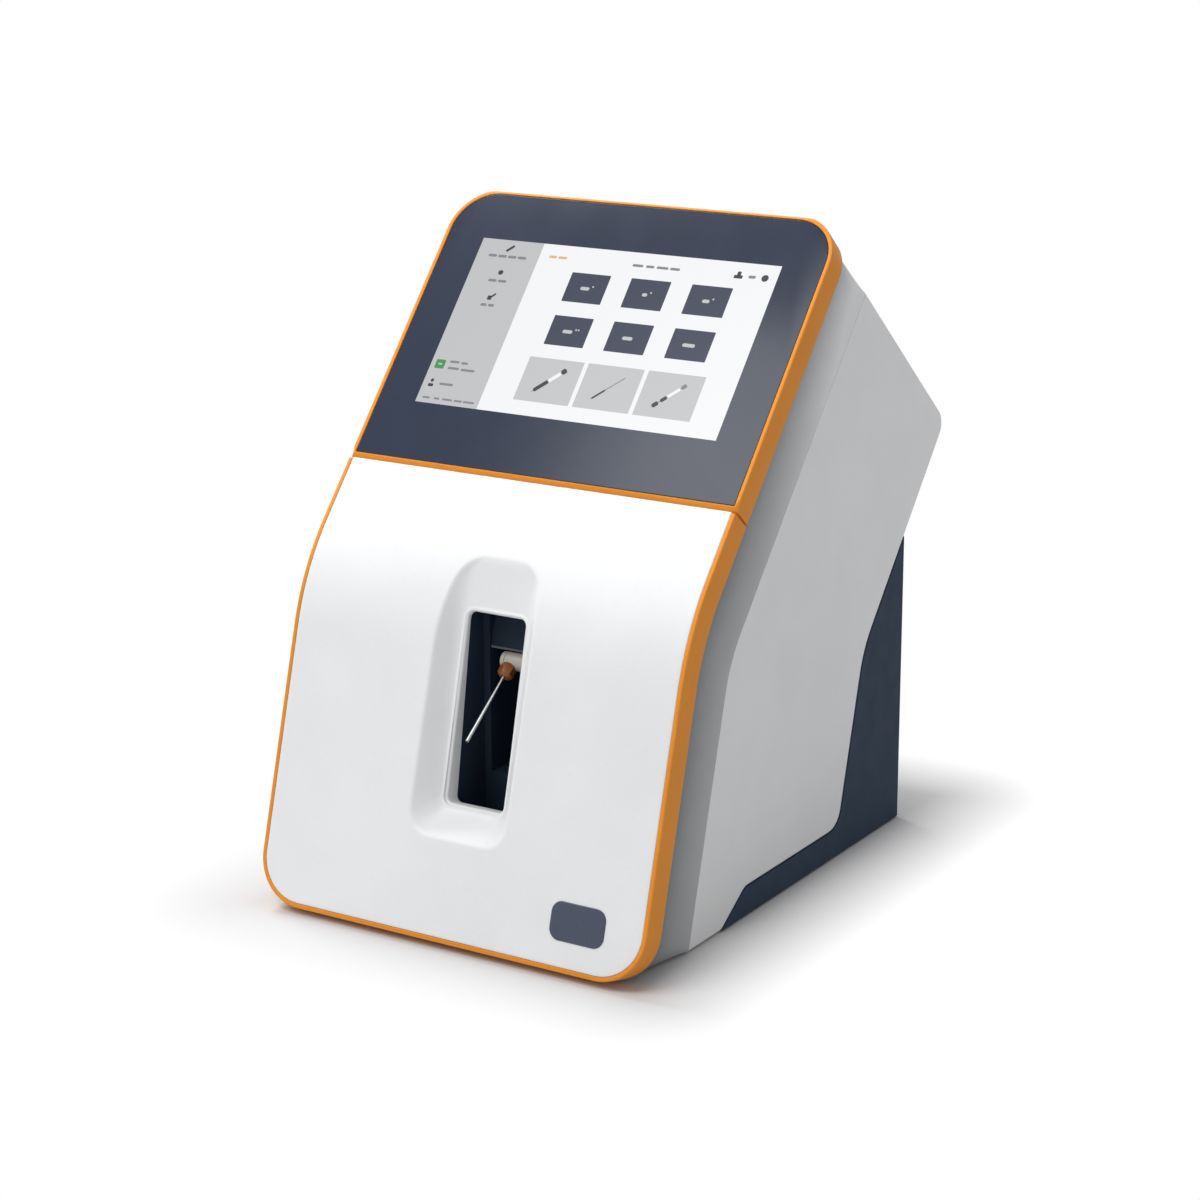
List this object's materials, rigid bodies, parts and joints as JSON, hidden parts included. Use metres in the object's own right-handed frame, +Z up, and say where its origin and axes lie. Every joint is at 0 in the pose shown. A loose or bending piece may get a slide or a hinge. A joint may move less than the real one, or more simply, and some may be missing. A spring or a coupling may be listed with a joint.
{
  "type": "blood gas analyzer",
  "caption": "Benchtop analyzer with a leaning band-shaped front: tilted touch screen over a hinged door with a sample port and needle, wrap-round casing and rear housing.",
  "frame": {"origin": "middle of the footprint at the table, under the centre of the bounding box", "axes": "+Z up; +X to the right of a person facing the screen; +Y from the screen towards the rear connectors"},
  "size_m": [0.1976, 0.2866, 0.2963],
  "materials": {
    "white_plastic": "satin",
    "grey_plastic": "satin",
    "orange_plastic": "satin",
    "cover_glass": "gloss",
    "display": "satin",
    "black_plastic": "matte",
    "navy_plastic": "satin",
    "dark_liner": "satin",
    "badge_navy": "gloss",
    "zinc_steel": "satin",
    "polished_steel": "polished",
    "nickel": "polished",
    "motor_body": "satin",
    "acetal": "satin",
    "amber_plastic": "satin",
    "cartridge_plastic": "satin",
    "acrylic": "polished",
    "silicone": "satin",
    "rubber": "matte",
    "circuit_board": "satin"
  },
  "bodies": {
    "chassis": {"screen_ring": "orange_plastic", "cover_glass": "cover_glass", "screen_carrier": "black_plastic", "display_module": "display", "display_board": "circuit_board", "frame_hinge_leaves": "zinc_steel", "front_frame": "grey_plastic", "frame_magnets": "nickel", "casing": "white_plastic", "rear_housing": "navy_plastic", "base_plate": "zinc_steel", "base_screws": "polished_steel", "housing_screws": "polished_steel", "rubber_feet": "rubber", "port_liner": "dark_liner", "probe_motor": "motor_body", "deck_plate": "zinc_steel", "deck_screws": "polished_steel", "cartridge": "cartridge_plastic", "cartridge_guide": "zinc_steel", "pump_housing": "grey_plastic", "pump_motor": "motor_body", "pump_tube": "silicone", "valve_manifold": "acrylic", "solenoid_valves": "motor_body", "main_board": "circuit_board", "power_supply": "zinc_steel", "fan_frame": "black_plastic", "fan_grille": "black_plastic", "power_inlet": "black_plastic", "switch_body": "black_plastic", "io_board": "circuit_board", "ethernet_socket": "nickel", "usb_sockets": "nickel"},
    "door": {"door_ring": "orange_plastic", "door_panel": "white_plastic", "door_strikes": "zinc_steel", "door_badge": "badge_navy", "door_hinge_leaves": "zinc_steel"},
    "probe": {"probe_arm": "acetal", "probe_collet": "amber_plastic", "probe_needle": "polished_steel", "probe_shaft": "polished_steel"},
    "pump_rotor": {"pump_rotor": "acetal", "pump_shaft": "polished_steel"},
    "pump_roller_1": {"pump_roller_1": "acetal"},
    "pump_roller_2": {"pump_roller_2": "acetal"},
    "pump_roller_3": {"pump_roller_3": "acetal"},
    "fan": {"fan_rotor": "black_plastic"},
    "rocker": {"power_rocker": "black_plastic"}
  },
  "joints": [
    {"name": "door_swing", "type": "hinge", "parent": "chassis", "child": "door", "pos_m": [-0.0964, -0.13387, 0.00304], "axis": [0, -0.2714, -0.9625], "range_deg": [0, 110]},
    {"name": "probe_swing", "type": "hinge", "parent": "chassis", "child": "probe", "pos_m": [0, -0.08551, 0.1136], "axis": [1, 0, 0], "range_deg": [-30, 50]},
    {"name": "pump_spin", "type": "hinge", "parent": "chassis", "child": "pump_rotor", "pos_m": [0.054, -0.12166, 0.08168], "axis": [0, 0.9625, -0.2714], "continuous": true},
    {"name": "roller_1_spin", "type": "hinge", "parent": "pump_rotor", "child": "pump_roller_1", "pos_m": [0.054, -0.11813, 0.0942], "axis": [0, 0.9625, -0.2714], "continuous": true},
    {"name": "roller_2_spin", "type": "hinge", "parent": "pump_rotor", "child": "pump_roller_2", "pos_m": [0.04274, -0.12343, 0.07543], "axis": [0, 0.9625, -0.2714], "continuous": true},
    {"name": "roller_3_spin", "type": "hinge", "parent": "pump_rotor", "child": "pump_roller_3", "pos_m": [0.06526, -0.12343, 0.07543], "axis": [0, 0.9625, -0.2714], "continuous": true},
    {"name": "fan_spin", "type": "hinge", "parent": "chassis", "child": "fan", "pos_m": [0.051, 0.10399, 0.084], "axis": [0, 1, 0], "continuous": true},
    {"name": "rocker_tip", "type": "hinge", "parent": "chassis", "child": "rocker", "pos_m": [-0.062, 0.10499, 0.062], "axis": [1, 0, 0], "range_deg": [0, 24]}
  ],
  "couplings": [
    {"joint": "roller_1_spin", "follows": "pump_spin", "ratio": -4.25},
    {"joint": "roller_2_spin", "follows": "pump_spin", "ratio": -4.25},
    {"joint": "roller_3_spin", "follows": "pump_spin", "ratio": -4.25}
  ]
}
